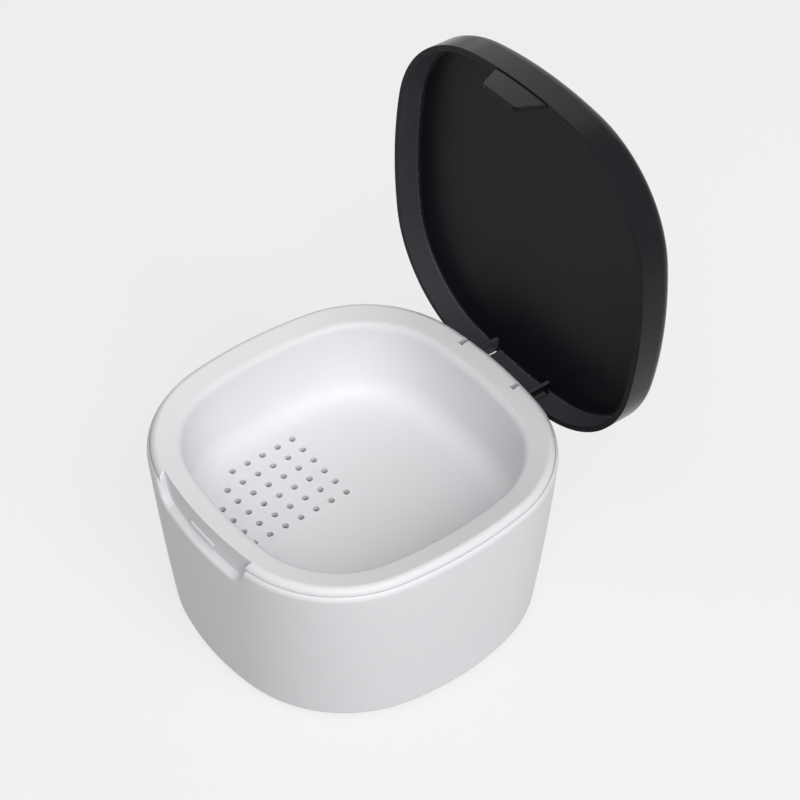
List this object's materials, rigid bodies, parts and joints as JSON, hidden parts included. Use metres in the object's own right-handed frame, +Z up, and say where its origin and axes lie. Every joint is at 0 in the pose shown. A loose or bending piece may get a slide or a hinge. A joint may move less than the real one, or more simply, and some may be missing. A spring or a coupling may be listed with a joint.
{
  "type": "hearing aid dryer",
  "caption": "Rounded square desktop dryer with a drying well, a hinged lid with a latch tongue, and a fan and heater under the well.",
  "frame": {"origin": "on the table, in the middle of the four feet, under the middle of the casing", "axes": "+Z up, +X to the right of someone facing the finger notch, -Y the front with the notch, +Y the back with the hinge"},
  "size_m": [0.09, 0.1031, 0.1307],
  "materials": {
    "white_plastic": "satin white moulding",
    "black_plastic_lid": "polished black moulding",
    "base_plastic": "satin off-white moulding",
    "steel": "bright zinc-plated",
    "sheet_steel": "bright sheet",
    "grey_rubber": "matt",
    "black_plastic": "matt black",
    "copper_winding": "enamelled copper",
    "duct_plastic": "heat-resistant dark moulding",
    "heater_aluminium": "plain",
    "element_ceramic": "ceramic body",
    "board_laminate": "green laminate",
    "chip_plastic": "matt black",
    "part_plastic": "dark sleeves",
    "plug_plastic": "natural nylon",
    "red_lead": "insulated wire",
    "white_lead": "insulated wire",
    "button_plastic": "light grey",
    "lamp_plastic": "clear"
  },
  "bodies": {
    "casing": {"outer_shell": "white_plastic", "inner_tub": "white_plastic", "hinge_pin": "steel", "base_plate": "base_plastic", "rubber_feet": "grey_rubber", "base_screws": "steel", "fan_screws": "steel", "board_screws": "steel", "fan_frame": "black_plastic", "fan_stator": "copper_winding", "air_duct": "duct_plastic", "duct_gasket": "grey_rubber", "heater_bracket": "sheet_steel", "heater_fins": "heater_aluminium", "ptc_element": "element_ceramic", "thermal_cutoff": "sheet_steel", "control_board": "board_laminate", "timer_chip": "chip_plastic", "board_parts": "part_plastic", "fan_connector": "plug_plastic", "heater_connector": "plug_plastic", "fan_lead": "red_lead", "heater_lead": "white_lead", "usb_socket": "sheet_steel", "tact_switch": "chip_plastic", "status_led": "lamp_plastic", "light_pipe": "lamp_plastic"},
    "lid": {"lid": "black_plastic_lid"},
    "rotor": {"fan_rotor": "black_plastic"},
    "button": {"power_button": "button_plastic", "switch_plunger": "plug_plastic"}
  },
  "joints": [
    {"name": "lid_hinge", "type": "hinge", "parent": "casing", "child": "lid", "pos_m": [0, 0.0413, 0.044], "axis": [1, 0, 0], "range_deg": [0, 91]},
    {"name": "fan_spin", "type": "hinge", "parent": "casing", "child": "rotor", "pos_m": [-0.0115, -0.00702, 0.0084], "axis": [0, 0, 1], "continuous": true},
    {"name": "button_press", "type": "slide", "parent": "casing", "child": "button", "axis": [0, -1, 0], "range_m": [0, 0.0005], "stiffness_N_per_m": 1500, "springref_m": -0.0004}
  ]
}
